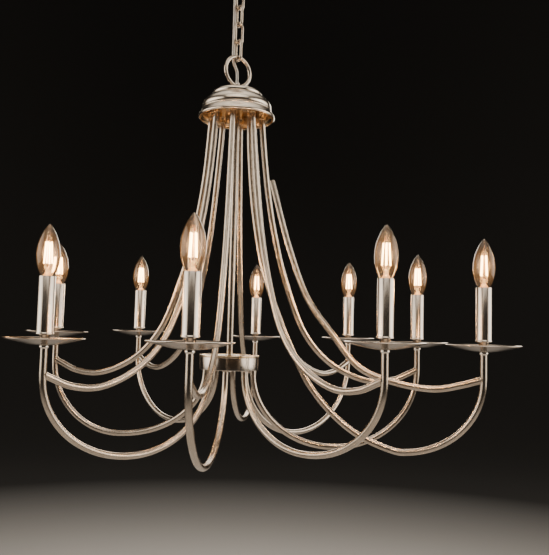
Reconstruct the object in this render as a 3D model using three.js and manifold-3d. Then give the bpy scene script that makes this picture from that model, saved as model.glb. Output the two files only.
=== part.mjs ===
// A nine-light candle chandelier in satin nickel, hung from a ceiling hook by a short chain.
// Millimetres, +Z up. The origin is the middle of the bracket's face against the ceiling, so
// the whole lamp hangs below z = 0. +X is to the right of a viewer who stands at -Y.
import * as THREE from "three";
import { mergeVertices } from "three/addons/utils/BufferGeometryUtils.js";
import Module from "manifold-3d";

const wasm = await Module();
wasm.setup();

// ---------------------------------------------------------------- driving dimensions
const gap = 0.3; // clearance between pieces that touch
const candleFoot = -725; // height of the feet of the candle sleeves
const hubBottom = candleFoot - 65; // underside of the hub drum
const domeRim = candleFoot + 405.5; // lower edge of the dome

const tubeRadius = 5.4; // bent arm tubes
const stemRadius = 6;
const hubRadius = 54.8;
const hubHeight = 26.5;
const hubRing = 45; // radius of the ring of tubes under the hub
const domeRing = 49; // radius of the ring of tubes in the dome

const ringWire = 3.5; // wire radius of the hanging ring
const ringRadius = 28; // to the middle of its wire
const linkWire = 2.5; // wire radius of a chain link
const linkWidth = 16; // between the middles of a link's two sides
const linkLength = 39; // between the middles of its two ends
const linkCount = 5;
const chainTurn = 36; // degrees; the ring, and every second link, stand this far round from +X

const sleeveHeight = 87;
const sleeveRadius = 12.5;
const dishRadius = 60;
const cordRadius = 2.8;

// Every arm was bent and brazed by hand, so each has its own direction, in degrees from +X
// seen from above, its own reach from the centre line to its candle, and its own height of
// candle foot above or below the rest. The U under each candle is lowest at `low` from the
// centre line and `depth` below the candle feet.
const arms = [
  { angle: 9, reach: 371, lift: -2, low: 208, depth: 207 },
  { angle: 47, reach: 391, lift: 0, low: 218, depth: 200 },
  { angle: 81.5, reach: 396, lift: -3, low: 240, depth: 180 },
  { angle: 123, reach: 387, lift: 4, low: 216, depth: 186 },
  { angle: 165, reach: 352, lift: 2, low: 217, depth: 195 },
  { angle: 221, reach: 365, lift: -4, low: 198, depth: 197 },
  { angle: 262.5, reach: 383, lift: -1, low: 215, depth: 198 },
  { angle: 307, reach: 376, lift: 3, low: 198, depth: 192 },
  { angle: 334, reach: 454, lift: 0, low: 317, depth: 187 },
];
const oddArm = 9; // its lower tube climbs to the dome, and its upper tube ends free

// Heights of the hanging pieces, worked out from the dome upwards.
const domeTop = domeRim + 59;
const eyeHeight = domeTop + 5.4; // of the middle of the eye, where the ring's wire passes
const ringCentre = eyeHeight + ringRadius;
const linkPitch = linkLength - 2 * linkWire - gap;
const lowestLinkEnd = ringCentre + ringRadius - ringWire - gap - linkWire;
const linkCentre = (n) => lowestLinkEnd + linkLength / 2 + (linkCount - n) * linkPitch;
const hookWire = 3;
const hookSeat = linkCentre(1) + linkLength / 2 - linkWire - gap - hookWire;

// ---------------------------------------------------------------- finishes
const satinNickel = new THREE.MeshStandardMaterial({ color: 0xb8aca0, roughness: 0.32, metalness: 1 });
const brightNickel = new THREE.MeshStandardMaterial({ color: 0xcfc4b8, roughness: 0.16, metalness: 1 });
const zincSteel = new THREE.MeshStandardMaterial({ color: 0x9a9a98, roughness: 0.45, metalness: 1 });
const clearGlass = new THREE.MeshStandardMaterial({
  color: 0xffe8cc,
  roughness: 0.05,
  metalness: 0,
  transparent: true,
  opacity: 0.45,
});
const silverCord = new THREE.MeshStandardMaterial({ color: 0xb4aca4, roughness: 0.5, metalness: 0 });

// ---------------------------------------------------------------- geometry helpers
const radians = THREE.MathUtils.degToRad;

// A turned solid about the vertical axis, from [radius, height] points of its half outline.
function turned(outline, segments) {
  const points = outline.map(([radius, height]) => new THREE.Vector2(radius, height));
  return new THREE.LatheGeometry(points, segments).rotateX(Math.PI / 2);
}

// The inner side of a thin turned wall, one thickness to the left of its outer outline.
function innerOutline(outer, wall) {
  return outer.map(([radius, height], i) => {
    const [r0, z0] = outer[Math.max(i - 1, 0)];
    const [r1, z1] = outer[Math.min(i + 1, outer.length - 1)];
    const length = Math.hypot(r1 - r0, z1 - z0);
    return [radius - (wall * (z1 - z0)) / length, height + (wall * (r1 - r0)) / length];
  });
}

function roundSection(radius, sides) {
  const points = [];
  for (let i = 0; i < sides; i++) {
    const turn = (2 * Math.PI * (i + 0.5)) / sides;
    points.push(new THREE.Vector2(radius * Math.cos(turn), radius * Math.sin(turn)));
  }
  return new THREE.Shape(points);
}

function tubeAlong(points, radius, steps, sides = 8) {
  const path = new THREE.CatmullRomCurve3(points, false, "centripetal");
  const options = { steps, extrudePath: path, bevelEnabled: false };
  return new THREE.ExtrudeGeometry(roundSection(radius, sides), options);
}

// A chain link: a wire ring standing in the XZ plane, pulled apart at its waist.
function ovalLink() {
  const steps = 16;
  const bend = linkWidth / 2;
  const geometry = new THREE.TorusGeometry(bend, linkWire, 6, steps);
  geometry.rotateZ(Math.PI / steps).rotateX(Math.PI / 2);
  const position = geometry.attributes.position;
  const stretch = linkLength / 2 - bend;
  for (let i = 0; i < position.count; i++) {
    position.setZ(i, position.getZ(i) + Math.sign(position.getZ(i)) * stretch);
  }
  return geometry;
}

function toSolid(geometry) {
  const bare = geometry.clone();
  bare.deleteAttribute("normal");
  bare.deleteAttribute("uv");
  const merged = mergeVertices(bare, 1e-4);
  const mesh = new wasm.Mesh({
    numProp: 3,
    vertProperties: merged.attributes.position.array,
    triVerts: new Uint32Array(merged.index.array),
  });
  return new wasm.Manifold(mesh);
}

function toGeometry(solid) {
  const mesh = solid.getMesh();
  const geometry = new THREE.BufferGeometry();
  geometry.setAttribute("position", new THREE.BufferAttribute(mesh.vertProperties, 3));
  geometry.setIndex(new THREE.BufferAttribute(mesh.triVerts, 1));
  geometry.computeVertexNormals();
  return geometry;
}

function joined(...geometries) {
  return toGeometry(geometries.map(toSolid).reduce((all, next) => all.add(next)));
}

function drilled(geometry, ...drills) {
  return toGeometry(drills.map(toSolid).reduce((left, drill) => left.subtract(drill), toSolid(geometry)));
}

function uprightRod(radius, bottom, top, segments = 16) {
  return new THREE.CylinderGeometry(radius, radius, top - bottom, segments)
    .rotateX(Math.PI / 2)
    .translate(0, 0, (bottom + top) / 2);
}

// ---------------------------------------------------------------- assembly
const chandelier = new THREE.Group();

function add(parent, name, geometry, material) {
  const mesh = new THREE.Mesh(geometry, material);
  mesh.name = name;
  parent.add(mesh);
  return mesh;
}

function turnedGroup(degrees, height = 0) {
  const group = new THREE.Group();
  group.rotation.z = radians(degrees);
  group.position.z = height;
  chandelier.add(group);
  return group;
}

// ---------------------------------------------------------------- ceiling fitting
// A strap with two screw holes, and an open hook bent from wire under its middle.
function ceilingBracket() {
  const thickness = 3;
  const screwSpacing = 66;
  const strap = new THREE.BoxGeometry(92, 22, thickness).translate(0, 0, -thickness / 2);
  const hole = (x) => uprightRod(2.6, -2 * thickness, thickness).translate(x, 0, 0);
  const plate = drilled(strap, hole(-screwSpacing / 2), hole(screwSpacing / 2));
  const bend = 9;
  const middle = hookSeat + bend;
  const shank = [new THREE.Vector3(0, 0, -1), new THREE.Vector3(0, 0, -7)];
  const arc = [];
  for (let turn = 60; turn >= -210; turn -= 22.5) {
    const x = bend * Math.cos(radians(turn));
    arc.push(new THREE.Vector3(x, 0, middle + bend * Math.sin(radians(turn))));
  }
  const hook = tubeAlong([...shank, ...arc], hookWire, 18);
  return joined(plate, hook);
}

// The bell-shaped cover that slides down the chain to reach the wiring.
function ceilingRose() {
  const outer = [
    [20, -56.5],
    [24, -56.5],
    [36, -50],
    [46, -37],
    [52, -20],
    [55, -6],
    [55, -0.6],
  ];
  return turned([...outer, ...innerOutline(outer, 1.2).reverse(), outer[0]], 24);
}

add(turnedGroup(chainTurn), "ceiling_bracket", ceilingBracket(), zincSteel);
add(chandelier, "ceiling_rose", ceilingRose(), brightNickel);

// ---------------------------------------------------------------- chain and ring
for (let n = 1; n <= linkCount; n++) {
  const across = (linkCount - n) % 2 === 0 ? 90 : 0;
  const group = turnedGroup(chainTurn + across, linkCentre(n));
  add(group, `chain_link_${n}`, ovalLink(), satinNickel);
}

const hangingRing = new THREE.TorusGeometry(ringRadius, ringWire, 8, 28).rotateX(Math.PI / 2);
add(turnedGroup(chainTurn, ringCentre), "hanging_ring", hangingRing, satinNickel);

// ---------------------------------------------------------------- dome
const plateBottom = domeRim + 31; // the tube plate sits up inside the dome
const plateTop = plateBottom + 4;
const cordEntry = { x: -1, y: 11 };
const shankRadius = 4.4;

// A wire eye on a flat foot; its threaded shank holds the dome and the tube plate together.
function ringEye() {
  const wire = 1.7;
  const bore = ringWire + 0.5;
  const eye = new THREE.TorusGeometry(bore + wire, wire, 6, 14)
    .rotateY(Math.PI / 2)
    .rotateX(Math.PI / 2)
    .translate(0, 0, eyeHeight);
  const footTop = eyeHeight - ringWire - 0.5;
  const foot = uprightRod(7.2, domeTop + gap, footTop, 20);
  const shank = uprightRod(shankRadius, plateBottom - 3, domeTop + 1, 12);
  return joined(foot, shank, eye);
}

// A stepped bell: flared lip, groove, main dome and a small upper tier.
function domeCanopy() {
  const wall = 1.2;
  const profile = [
    [71.5, 0],
    [72.3, 3],
    [69.8, 8],
    [65, 15],
    [65.2, 21],
    [63, 29],
    [58.5, 35],
    [50.4, 41.2],
    [46, 45],
    [46, 48.4],
    [42, 52.6],
    [28, 57.4],
    [12, 59],
  ];
  const outer = profile.map(([radius, height]) => [radius, domeRim + height]);
  const crown = [[0, domeTop], [0, domeTop - wall]];
  const shell = turned([...outer, ...crown, ...innerOutline(outer, wall).reverse(), outer[0]], 28);
  const shankHole = uprightRod(shankRadius + 0.6, domeTop - 5, domeTop + 5, 12);
  const cordHole = uprightRod(cordRadius + 0.8, domeTop - 5, domeTop + 5, 12);
  return drilled(shell, shankHole, cordHole.translate(cordEntry.x, cordEntry.y, 0));
}

function tubePlate() {
  const plate = uprightRod(55.5, plateBottom, plateTop, 28);
  return drilled(plate, uprightRod(shankRadius + 0.6, plateBottom - 5, plateTop + 5, 12));
}

add(turnedGroup(chainTurn), "ring_eye", ringEye(), brightNickel);
add(chandelier, "dome_canopy", domeCanopy(), brightNickel);
add(chandelier, "tube_plate", tubePlate(), zincSteel);

// ---------------------------------------------------------------- stem and hub
const hubTop = hubBottom + hubHeight;
const lidThickness = 3;

function hubDrum() {
  const wall = 2;
  const top = hubTop - lidThickness - gap;
  return turned(
    [
      [0, hubBottom],
      [hubRadius, hubBottom],
      [hubRadius, top],
      [hubRadius - wall, top],
      [hubRadius - wall, hubBottom + wall],
      [0, hubBottom + wall],
    ],
    36,
  );
}

function hubLid() {
  const bottom = hubTop - lidThickness;
  const overhang = 0.7;
  return turned(
    [
      [0, bottom],
      [hubRadius, bottom],
      [hubRadius + overhang, bottom + 1],
      [hubRadius + overhang, bottom + 2],
      [hubRadius, hubTop],
      [0, hubTop],
    ],
    36,
  );
}

const stemTop = plateBottom - 3 - gap;
add(chandelier, "centre_stem", uprightRod(stemRadius, hubTop + gap, stemTop), satinNickel);
add(chandelier, "hub_lid", hubLid(), satinNickel);
add(chandelier, "hub_drum", hubDrum(), brightNickel);

// ---------------------------------------------------------------- arms
const collarTop = -17; // the collar's top face, on which the dish sits, below the candle's foot
const bendTop = -64; // the leg is straight above this height
const braze = -63; // where the upper tube meets the leg
const tubeStart = plateBottom - gap;

// Heights in the arm routes are taken from the arm's own candle foot.
const inPlane = ([radius, height]) => new THREE.Vector3(radius, 0, height);
const fromFoot = (arm, [radius, height]) => [radius, candleFoot + arm.lift + height];

// A quarter of an ellipse from [r0, z0], where it is upright, to [r1, z1], where it is level.
function quarterBend([r0, z0], [r1, z1]) {
  const parts = 6;
  const points = [];
  for (let i = 1; i <= parts; i++) {
    const turn = (Math.PI / 2) * (i / parts);
    points.push([r1 + (r0 - r1) * Math.cos(turn), z0 + (z1 - z0) * Math.sin(turn)]);
  }
  return points;
}

// The straight leg under the candle and the outer half of the U.
function legRoute(arm) {
  const leg = [[arm.reach, collarTop - 3], [arm.reach, -40], [arm.reach, bendTop]];
  const bend = quarterBend([arm.reach, bendTop], [arm.low, -arm.depth]);
  return [...leg, ...bend].map((point) => fromFoot(arm, point));
}

// The inner half of the U comes up under the hub.
function lowerArmRoute(arm) {
  const end = [hubRing, hubBottom - gap];
  const start = [hubRing, hubBottom - 5];
  const lowest = fromFoot(arm, [arm.low, -arm.depth]);
  return [...legRoute(arm), ...quarterBend(start, lowest).reverse().slice(1), start, end];
}

// Arm nine has the same leg and bend, but its tube misses the hub and climbs into the dome.
function oddLowerRoute(arm) {
  const climb = [
    [251, -166],
    [200, -131],
    [156, -82],
    [126, -29],
    [105, 14],
    [67, 112],
    [44, 215],
    [31, 330],
    [28, 400],
  ];
  return [...legRoute(arm), ...climb.map((point) => fromFoot(arm, point)), [28, tubeStart]];
}

// The upper tube drops from the dome, sweeps out and rises a little to the side of the leg.
function upperArmRoute(arm) {
  const sweep = [
    [64, 290],
    [80, 200],
    [106, 105],
    [150, 3],
    [205, -52],
    [280, -82],
    [335, -79],
  ];
  const scale = arm.reach / 384; // the sweep is written for an arm of this reach
  const drop = [[domeRing, tubeStart], [domeRing, domeRim + 18], [domeRing + 1, domeRim - 6]];
  const end = [arm.reach - tubeRadius - 2.4, braze];
  const bends = sweep.map(([radius, height]) => [radius * scale, height]);
  return [...drop, ...[...bends, end].map((point) => fromFoot(arm, point))];
}

// Arm nine's upper tube starts in mid-air beside its neighbours, below the dome.
function oddUpperRoute(arm) {
  const sweep = [
    [76, 283],
    [115, 155],
    [153, 64],
    [198, 6],
    [249, -51],
    [303, -71],
    [376, -80],
    [424, -70],
  ];
  const end = [arm.reach - tubeRadius - 2.4, braze];
  return [...sweep, end].map((point) => fromFoot(arm, point));
}

// A lower arm carries a collar for the dish and a threaded nipple for the lamp holder.
function lowerArm(arm, route, steps) {
  const tube = tubeAlong(route.map(inPlane), tubeRadius, steps);
  const nippleTop = 6;
  const fitting = turned(
    [
      [0, collarTop - 5],
      [tubeRadius + 0.4, collarTop - 5],
      [7.3, collarTop - 1.5],
      [7.3, collarTop],
      [4, collarTop],
      [4, nippleTop],
      [0, nippleTop],
    ],
    12,
  );
  return joined(tube, fitting.translate(arm.reach, 0, candleFoot + arm.lift));
}

// A shallow saucer with a bored boss in its middle.
function dripDish() {
  const bore = 4.6;
  return turned(
    [
      [bore, -16.6],
      [14, -16.4],
      [36, -12.4],
      [58.5, -7],
      [dishRadius, -6],
      [59, -5],
      [36, -10.8],
      [14, -14.8],
      [8.4, -14.8],
      [8.4, -gap],
      [bore, -gap],
      [bore, -16.6],
    ],
    15,
  );
}

// A straight tube with a small flared foot.
function candleSleeve() {
  const bore = 11.3;
  return turned(
    [
      [bore, 0],
      [sleeveRadius + 0.9, 0],
      [sleeveRadius + 0.9, 1.4],
      [sleeveRadius, 3.4],
      [sleeveRadius, sleeveHeight],
      [bore, sleeveHeight],
      [bore, 0],
    ],
    14,
  );
}

// A candle bulb: a narrow screw cap hidden in the sleeve, and a pointed glass above it.
function bulb() {
  const cap = [
    [0, -24],
    [4, -24],
    [7, -20.5],
    [7, -3],
    [9.4, -1],
  ];
  const glass = [
    [10.2, 1],
    [15.2, 14.5],
    [17.5, 31],
    [16.4, 46],
    [11.4, 62],
    [4.6, 75],
    [0, 79],
  ];
  return turned([...cap, ...glass], 12).translate(0, 0, sleeveHeight);
}

arms.forEach((arm, i) => {
  const number = i + 1;
  const odd = number === oddArm;
  const plane = turnedGroup(arm.angle);
  const lowerRoute = odd ? oddLowerRoute(arm) : lowerArmRoute(arm);
  const upperRoute = odd ? oddUpperRoute(arm) : upperArmRoute(arm);
  const lamp = new THREE.Group();
  lamp.position.set(arm.reach, 0, candleFoot + arm.lift);
  plane.add(lamp);
  add(plane, `lower_arm_${number}`, lowerArm(arm, lowerRoute, odd ? 32 : 21), satinNickel);
  add(plane, `upper_arm_${number}`, tubeAlong(upperRoute.map(inPlane), tubeRadius, 17), satinNickel);
  add(lamp, `drip_dish_${number}`, dripDish(), satinNickel);
  add(lamp, `candle_sleeve_${number}`, candleSleeve(), brightNickel);
  add(lamp, `bulb_${number}`, bulb(), clearGlass);
});

// ---------------------------------------------------------------- supply cord
// It hangs in the corner between the crossed links, passes behind the ring and goes down
// through a hole in the top of the dome.
const cordRoute = [
  [-9.4, 2.2, -14],
  [-9.4, 2.2, -60],
  [-9.4, 2.2, -110],
  [-9.4, 2.2, -160],
  [-9.4, 2.2, -200],
  [-8.5, 3, -208],
  [-5.2, 5.7, -216],
  [-1.9, 8.4, -224],
  [-1, 9.3, -232],
  [-1, 10.4, -244],
  [cordEntry.x, cordEntry.y, -256],
  [cordEntry.x, cordEntry.y, -280],
];
const cordPoints = cordRoute.map(([x, y, z]) => new THREE.Vector3(x, y, z));
add(chandelier, "power_cord", tubeAlong(cordPoints, cordRadius, 26), silverCord);

export default chandelier;
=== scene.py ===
"""The looks of a nine-light candle chandelier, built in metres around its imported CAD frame."""

from math import atan2, cos, hypot, pi, radians, sin, sqrt, tan

import bmesh
import bpy
from mathutils import Matrix, Vector


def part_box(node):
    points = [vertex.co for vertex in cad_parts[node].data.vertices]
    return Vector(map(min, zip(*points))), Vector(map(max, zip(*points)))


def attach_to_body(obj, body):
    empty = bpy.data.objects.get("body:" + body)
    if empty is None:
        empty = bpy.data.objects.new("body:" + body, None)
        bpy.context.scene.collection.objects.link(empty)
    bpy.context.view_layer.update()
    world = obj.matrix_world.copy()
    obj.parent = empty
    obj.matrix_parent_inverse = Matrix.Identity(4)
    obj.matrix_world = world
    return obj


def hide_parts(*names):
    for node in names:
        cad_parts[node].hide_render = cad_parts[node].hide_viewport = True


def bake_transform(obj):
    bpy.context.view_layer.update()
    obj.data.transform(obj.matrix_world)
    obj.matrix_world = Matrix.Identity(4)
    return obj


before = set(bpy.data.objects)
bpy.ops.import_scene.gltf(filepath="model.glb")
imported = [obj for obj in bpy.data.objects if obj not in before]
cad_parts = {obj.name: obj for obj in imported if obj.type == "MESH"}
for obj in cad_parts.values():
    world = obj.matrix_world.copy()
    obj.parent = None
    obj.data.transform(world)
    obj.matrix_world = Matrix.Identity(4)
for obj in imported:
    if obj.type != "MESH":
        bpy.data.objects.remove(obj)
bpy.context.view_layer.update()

MM = 0.001
LAMPS = range(1, 10)
LINKS = range(1, 6)
ODD_ARM = 9  # its lower tube climbs into the dome, and its upper tube ends free
FILAMENT_MIDDLE = 36 * MM  # above the sleeve's top
CREASE = 35  # degrees; sharper edges than this are shaded as edges


def at(place):
    """A place, not turned."""
    return Matrix.Translation(place)


def add_object(name, data):
    """A new object in the scene, at the origin."""
    made = bpy.data.objects.new(name, data)
    bpy.context.scene.collection.objects.link(made)
    return made


# ---- camera
def add_camera():
    """In front of the lamp, level with the candles' feet, and looking slightly up."""
    data = bpy.data.cameras.new("camera")
    data.lens = 45.9
    camera = add_object("camera", data)
    place = at((0.0076, -1.3196, -0.7086))
    heading = Matrix.Rotation(radians(-3.13), 4, "Z")
    pitch = Matrix.Rotation(radians(90 + 3.94), 4, "X")
    roll = Matrix.Rotation(radians(1.46), 4, "Z")
    camera.matrix_world = place @ heading @ pitch @ roll
    bpy.context.scene.camera = camera


add_camera()


# ---- curves and outlines
def smooth(points, spacing):
    """A smooth (centripetal Catmull-Rom) line through the points, in steps of about `spacing`."""
    points = [Vector(p) for p in points]
    ends = [2 * points[0] - points[1], 2 * points[-1] - points[-2]]
    knots = [ends[0], *points, ends[1]]
    line = []
    for a, b, c, d in zip(knots, knots[1:], knots[2:], knots[3:]):
        ta = 0.0
        tb = ta + sqrt((b - a).length)
        tc = tb + sqrt((c - b).length)
        td = tc + sqrt((d - c).length)
        parts = max(1, round((c - b).length / spacing))
        for i in range(parts):
            t = tb + (tc - tb) * i / parts
            ab = a.lerp(b, (t - ta) / (tb - ta))
            bc = b.lerp(c, (t - tb) / (tc - tb))
            cd = c.lerp(d, (t - tc) / (td - tc))
            abc = ab.lerp(bc, (t - ta) / (tc - ta))
            bcd = bc.lerp(cd, (t - tb) / (td - tb))
            line.append(abc.lerp(bcd, (t - tb) / (tc - tb)))
    line.append(points[-1])
    return line


def in_mm(points):
    """Points given in millimetres."""
    return [tuple(value * MM for value in point) for point in points]


def raised(outline, height):
    """An outline moved up."""
    return [(radius, z + height) for radius, z in outline]


def ring_shape(outline):
    """An outline that closes on itself."""
    return [*outline, outline[0]]


def curved(points, spacing=1.2):
    """A smooth stretch of a turned outline, from (radius, height) points in millimetres."""
    line = smooth([(radius, height, 0) for radius, height in in_mm(points)], spacing * MM)
    return [(p.x, p.y) for p in line]


def rounded(outline, radius, parts=4):
    """The outline with its corners rounded, except for its two ends."""
    nearly_straight = radians(83)  # half of the angle at a corner
    made = [outline[0]]
    for before, corner, after in zip(outline, outline[1:], outline[2:]):
        p, a, b = Vector(corner), Vector(before), Vector(after)
        to_a, to_b = (a - p).normalized(), (b - p).normalized()
        half = to_a.angle(to_b) / 2
        if half > nearly_straight:
            made.append(corner)
            continue
        longest = 0.48 * min((a - p).length, (b - p).length)
        reach = min(radius / max(tan(half), 0.05), longest)
        start, end = p + to_a * reach, p + to_b * reach
        for i in range(parts + 1):
            t = i / parts
            made.append(tuple(start * (1 - t) ** 2 + p * 2 * t * (1 - t) + end * t**2))
    made.append(outline[-1])
    return made


def inner_side(outline, wall):
    """The line one wall thickness to the left of an outline."""
    made = []
    longer = [outline[0], *outline, outline[-1]]
    for (r0, z0), (radius, height), (r1, z1) in zip(longer, outline, longer[2:]):
        length = hypot(r1 - r0, z1 - z0)
        made.append((radius - wall * (z1 - z0) / length, height + wall * (r1 - r0) / length))
    return made


# ---- mesh makers
def new_piece(name, vertices, faces, grain, crease=CREASE):
    """An object from its mesh. `grain` is the place of each vertex on the straight, unbent piece."""
    mesh = bpy.data.meshes.new(name)
    mesh.from_pydata(vertices, [], faces)
    attribute = mesh.attributes.new("grain", "FLOAT_VECTOR", "POINT")
    attribute.data.foreach_set("vector", [value for point in grain for value in point])
    shaped = bmesh.new()
    shaped.from_mesh(mesh)
    bmesh.ops.recalc_face_normals(shaped, faces=shaped.faces)
    shaped.to_mesh(mesh)
    shaped.free()
    mesh.shade_smooth()
    mesh.set_sharp_from_angle(angle=radians(crease))
    return add_object(name, mesh)


def circle(radius, count):
    """Points evenly round a circle, such as the corners of a nut."""
    turns = [2 * pi * i / count for i in range(count)]
    return [(radius * cos(turn), radius * sin(turn)) for turn in turns]


def grid_faces(rows, columns, closed_rows=False):
    """Quads between rows of vertices, each row a closed ring."""
    faces = []
    for i in range(rows if closed_rows else rows - 1):
        low, high = i * columns, (i + 1) % rows * columns
        for j in range(columns):
            k = (j + 1) % columns
            faces.append((low + j, low + k, high + k, high + j))
    return faces


def end_faces(count, sides):
    """A flat face on the first and last ring of `sides` vertices, of `count` vertices in all."""
    return [tuple(range(sides)), tuple(range(count - sides, count))]


def turned(name, outline, segments=48):
    """A turned piece about the vertical axis. The outline closes on itself, or ends on the axis."""
    smallest = 0.001 * MM  # the radius of a ring on the axis, until its points are welded
    closed = outline[0] == outline[-1]
    rows = outline[:-1] if closed else outline
    vertices, grain = [], []
    along = 0.0
    before = rows[0]
    for radius, height in rows:
        along += hypot(radius - before[0], height - before[1])
        before = (radius, height)
        wide = max(radius, smallest)
        for x, y in circle(wide, segments):
            vertices.append((x, y, height))
            grain.append((x, y, along))
    faces = grid_faces(len(rows), segments, closed)
    piece = new_piece(name, vertices, faces, grain)
    weld_points(piece.data, 5 * smallest)
    return piece


def weld_points(mesh, distance):
    """Merges points closer than the distance, such as those of a ring on the axis."""
    shaped = bmesh.new()
    shaped.from_mesh(mesh)
    bmesh.ops.remove_doubles(shaped, verts=shaped.verts, dist=distance)
    shaped.to_mesh(mesh)
    shaped.free()


def path_axes(path, closed):
    """The direction along the path and two across it, at each point, carried without twist."""
    longer = [path[-1], *path, path[0]] if closed else [path[0], *path, path[-1]]
    tangents = [(after - before).normalized() for before, after in zip(longer, longer[2:])]
    across = tangents[0].orthogonal().normalized()
    axes = []
    for tangent in tangents:
        across = (across - tangent * across.dot(tangent)).normalized()
        axes.append((tangent, across, tangent.cross(across)))
    return axes


def lipped_stations(path, axes, radius, lip):
    """Stations (point, axes, radius) along an open bar, whose ends are rounded by `lip`."""
    parts = 3
    ends = []
    for end, sign in ((0, 1), (-1, -1)):
        corner = []
        for i in range(parts + 1):
            turn = pi / 2 * i / parts
            point = path[end] + sign * lip * (1 - cos(turn)) * axes[end][0]
            corner.append((point, axes[end], radius - lip * (1 - sin(turn))))
        ends.append(corner)
    middle_part = []
    for point, point_axes in zip(path, axes):
        if min((point - path[0]).length, (point - path[-1]).length) > 1.5 * lip:
            middle_part.append((point, point_axes, radius))
    return ends[0] + middle_part + ends[1][::-1]


def bar(name, path, radius, sides=24, closed=False, lip=0.4 * MM, bore=0):
    """A round bar along a path, such as an arm, a link of chain or a cord.

    A closed bar has a fine groove where its wire meets itself. An open one has rounded ends, or
    plain ones where lip is 0, and a hole of radius `bore` in its first end.
    """
    axes = path_axes(path, closed)
    stations = [(point, point_axes, radius) for point, point_axes in zip(path, axes)]
    if closed:
        groove = 0.12 * radius
        stations[0] = (path[0], axes[0], radius - groove)
    elif lip:
        stations = lipped_stations(path, axes, radius, lip)
    if bore:
        bore_depth = 12 * MM
        deep = path[0] + bore_depth * axes[0][0]
        stations = [(deep, axes[0], bore), (path[0], axes[0], bore), *stations]
    vertices, grain = [], []
    along = 0.0
    before = stations[0][0]
    for point, (_, across, other), wide in stations:
        along += (point - before).length
        before = point
        for x, y in circle(wide, sides):
            vertices.append(point + across * x + other * y)
            grain.append((x, y, along))
    faces = grid_faces(len(stations), sides, closed)
    if not closed:
        faces += end_faces(len(vertices), sides)
    return new_piece(name, vertices, faces, grain)


def threaded(name, radius, bottom, top, pitch, depth, segments=40):
    """A screw thread: a rod whose surface rises and falls along a helix."""
    rows_per_turn = 8
    rows = max(4, round((top - bottom) / pitch * rows_per_turn))
    vertices, grain = [], []
    for i in range(rows + 1):
        height = bottom + (top - bottom) * i / rows
        for j in range(segments):
            turn = 2 * pi * j / segments
            wide = radius - depth * (0.5 - 0.5 * cos(2 * pi * height / pitch - turn))
            vertices.append((wide * cos(turn), wide * sin(turn), height))
            grain.append(vertices[-1])
    faces = grid_faces(rows + 1, segments) + end_faces(len(vertices), segments)
    return new_piece(name, vertices, faces, grain, crease=60)


def plate(name, corners, bottom, top, holes=(), bevel=0.4 * MM):
    """A flat bevelled piece with these corners, and round holes given as (x, y, radius)."""
    shaped = bmesh.new()
    face = shaped.faces.new([shaped.verts.new((x, y, bottom)) for x, y in corners])
    extruded = bmesh.ops.extrude_face_region(shaped, geom=[face])
    moved = [v for v in extruded["geom"] if isinstance(v, bmesh.types.BMVert)]
    bmesh.ops.translate(shaped, verts=moved, vec=(0, 0, top - bottom))
    bmesh.ops.recalc_face_normals(shaped, faces=shaped.faces)
    level = 1e-6 * MM  # an edge whose ends differ in height by less lies round the top or bottom
    rims = [e for e in shaped.edges if abs(e.verts[0].co.z - e.verts[1].co.z) < level]
    bmesh.ops.bevel(shaped, geom=rims, offset=bevel, segments=2, affect="EDGES", profile=0.5)
    shaped.verts.index_update()
    vertices = [tuple(v.co) for v in shaped.verts]
    faces = [tuple(v.index for v in f.verts) for f in shaped.faces]
    shaped.free()
    piece = new_piece(name, vertices, faces, vertices)
    for x, y, radius in holes:
        drill(piece, x, y, radius, bottom, top)
    return piece


def drill(piece, x, y, radius, bottom, top):
    """Cuts an upright round hole through a piece, and 5 mm past its bottom and top."""
    low, high = bottom - 5 * MM, top + 5 * MM
    cutter = turned("cutter", [(0, low), (radius, low), (radius, high), (0, high)], 32)
    cutter.location = (x, y, 0)
    cut = piece.modifiers.new("cut", "BOOLEAN")
    cut.operation = "DIFFERENCE"
    cut.object = cutter
    bpy.context.view_layer.update()
    evaluated = piece.evaluated_get(bpy.context.evaluated_depsgraph_get())
    mesh = bpy.data.meshes.new_from_object(evaluated)
    piece.modifiers.clear()
    piece.data = mesh
    mesh.set_sharp_from_angle(angle=radians(CREASE))
    bpy.data.objects.remove(cutter)


def numbered(first, name, n):
    """Piece n of a set. The first one is given, and the others share its mesh."""
    return first if n == 1 else add_object(name.format(n), first.data)


def attach(piece, body, material, stands_for=(), place=None):
    """Gives a piece its place, material and body, and hides the CAD nodes it stands for."""
    if place is not None:
        piece.matrix_world = place
    if not piece.data.materials:
        piece.data.materials.append(material)
    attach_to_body(piece, body)
    if stands_for:
        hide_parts(*stands_for)


def turn_z(degrees, height=0.0):
    """A place on the centre line, turned about it."""
    return at((0, 0, height)) @ Matrix.Rotation(radians(degrees), 4, "Z")


# ---- materials
def set_inputs(node, inputs):
    """Sets a node's inputs, each to a value or to another node's output."""
    for name, value in inputs.items():
        if isinstance(value, bpy.types.NodeSocket):
            node.id_data.links.new(value, node.inputs[name])
        else:
            node.inputs[name].default_value = value


def add_node(tree, kind, inputs=None, **settings):
    """A shader node, with its inputs and its settings."""
    made = tree.nodes.new("ShaderNode" + kind)
    for name, value in settings.items():
        setattr(made, name, value)
    set_inputs(made, inputs or {})
    return made


def drive(shader, **inputs):
    """Sets a shader's inputs, whose names are written with _ for each space."""
    set_inputs(shader, {name.replace("_", " "): value for name, value in inputs.items()})


def new_material(name, **inputs):
    """A material, its node tree and its Principled shader, with the given inputs set."""
    material = bpy.data.materials.new(name)
    material.use_nodes = True
    tree = material.node_tree
    shader = tree.nodes["Principled BSDF"]
    drive(shader, **inputs)
    return material, tree, shader


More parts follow.
